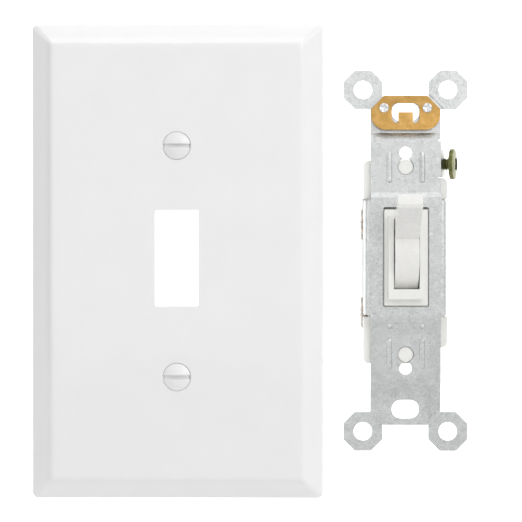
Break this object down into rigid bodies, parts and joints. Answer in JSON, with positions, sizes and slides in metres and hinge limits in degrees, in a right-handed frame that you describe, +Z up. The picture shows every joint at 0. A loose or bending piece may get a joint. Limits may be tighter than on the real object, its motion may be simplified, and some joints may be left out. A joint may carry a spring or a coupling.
{
  "type": "toggle wall switch",
  "caption": "Framed toggle wall switch on a steel mounting strap with break-off ears, side screw terminals and ground clip, shown beside its one-gang wall plate.",
  "frame": {"origin": "midway between the two mounting slots, in the plane of the wall, which is the back face of the strap's ears", "axes": "+X to the right as seen from the room, +Y into the wall, +Z up"},
  "size_m": [0.1179, 0.0593, 0.1248],
  "materials": {
    "galvanised_steel": "zinc-plated, matte with a fine spangle",
    "clip_brass": "plain cartridge brass",
    "rivet_steel": "bright staked heads",
    "ground_screw_green": "green-tinted plating, worn to gold on the edges",
    "cover_plastic": "satin white thermoplastic",
    "case_plastic": "satin white thermoplastic",
    "toggle_plastic": "smooth white urea or thermoplastic",
    "arm_copper": "bare copper alloy",
    "silver_contact": "silver alloy contact face",
    "spring_steel": "drawn spring wire",
    "terminal_brass": "stamped brass",
    "terminal_screw_metal": "warm nickel plating",
    "push_clip_bronze": "phosphor bronze leaf",
    "plate_plastic": "glossy white thermoplastic",
    "plate_screw_enamel": "white enamel heads on bright shanks"
  },
  "bodies": {
    "switch_body": {"mounting_strap": "galvanised_steel", "ground_clip": "clip_brass", "clip_rivets": "rivet_steel", "front_cover": "cover_plastic", "rear_case": "case_plastic", "fixed_contact": "silver_contact", "contact_spring": "spring_steel", "line_terminal": "terminal_brass", "load_terminal": "terminal_brass", "line_push_clip": "push_clip_bronze", "load_push_clip": "push_clip_bronze"},
    "toggle": {"toggle": "toggle_plastic"},
    "contact_arm": {"contact_arm": "arm_copper", "moving_contact": "silver_contact"},
    "ground_screw": {"ground_screw": "ground_screw_green"},
    "line_screw": {"line_screw": "terminal_screw_metal"},
    "load_screw": {"load_screw": "terminal_screw_metal"},
    "plate_screws": {"plate_screws": "plate_screw_enamel"},
    "wall_plate": {"wall_plate": "plate_plastic"}
  },
  "joints": [
    {"name": "toggle_tilt", "type": "hinge", "parent": "switch_body", "child": "toggle", "pos_m": [0, 0.0026, 0.00185], "axis": [1, 0, 0], "range_deg": [0, 70]},
    {"name": "contact_tilt", "type": "hinge", "parent": "switch_body", "child": "contact_arm", "pos_m": [0, 0.0155, -0.0135], "axis": [1, 0, 0], "range_deg": [0, 7], "deforming": ["contact_spring"]},
    {"name": "ground_screw_travel", "type": "slide", "parent": "switch_body", "child": "ground_screw", "axis": [0.9613, -0.2756, 0], "range_m": [0, 0.0025]},
    {"name": "line_screw_travel", "type": "slide", "parent": "switch_body", "child": "line_screw", "axis": [-1, 0, 0], "range_m": [0, 0.003]},
    {"name": "load_screw_travel", "type": "slide", "parent": "switch_body", "child": "load_screw", "axis": [-1, 0, 0], "range_m": [0, 0.003]},
    {"name": "plate_across", "type": "slide", "parent": "switch_body", "child": "plate_screws", "axis": [1, 0, 0], "range_m": [0, 0.0621]},
    {"name": "plate_seat", "type": "slide", "parent": "plate_screws", "child": "wall_plate", "axis": [0, 1, 0], "range_m": [0, 0.0276]}
  ],
  "couplings": [
    {"joint": "contact_tilt", "follows": "toggle_tilt", "ratio": 0.1}
  ]
}
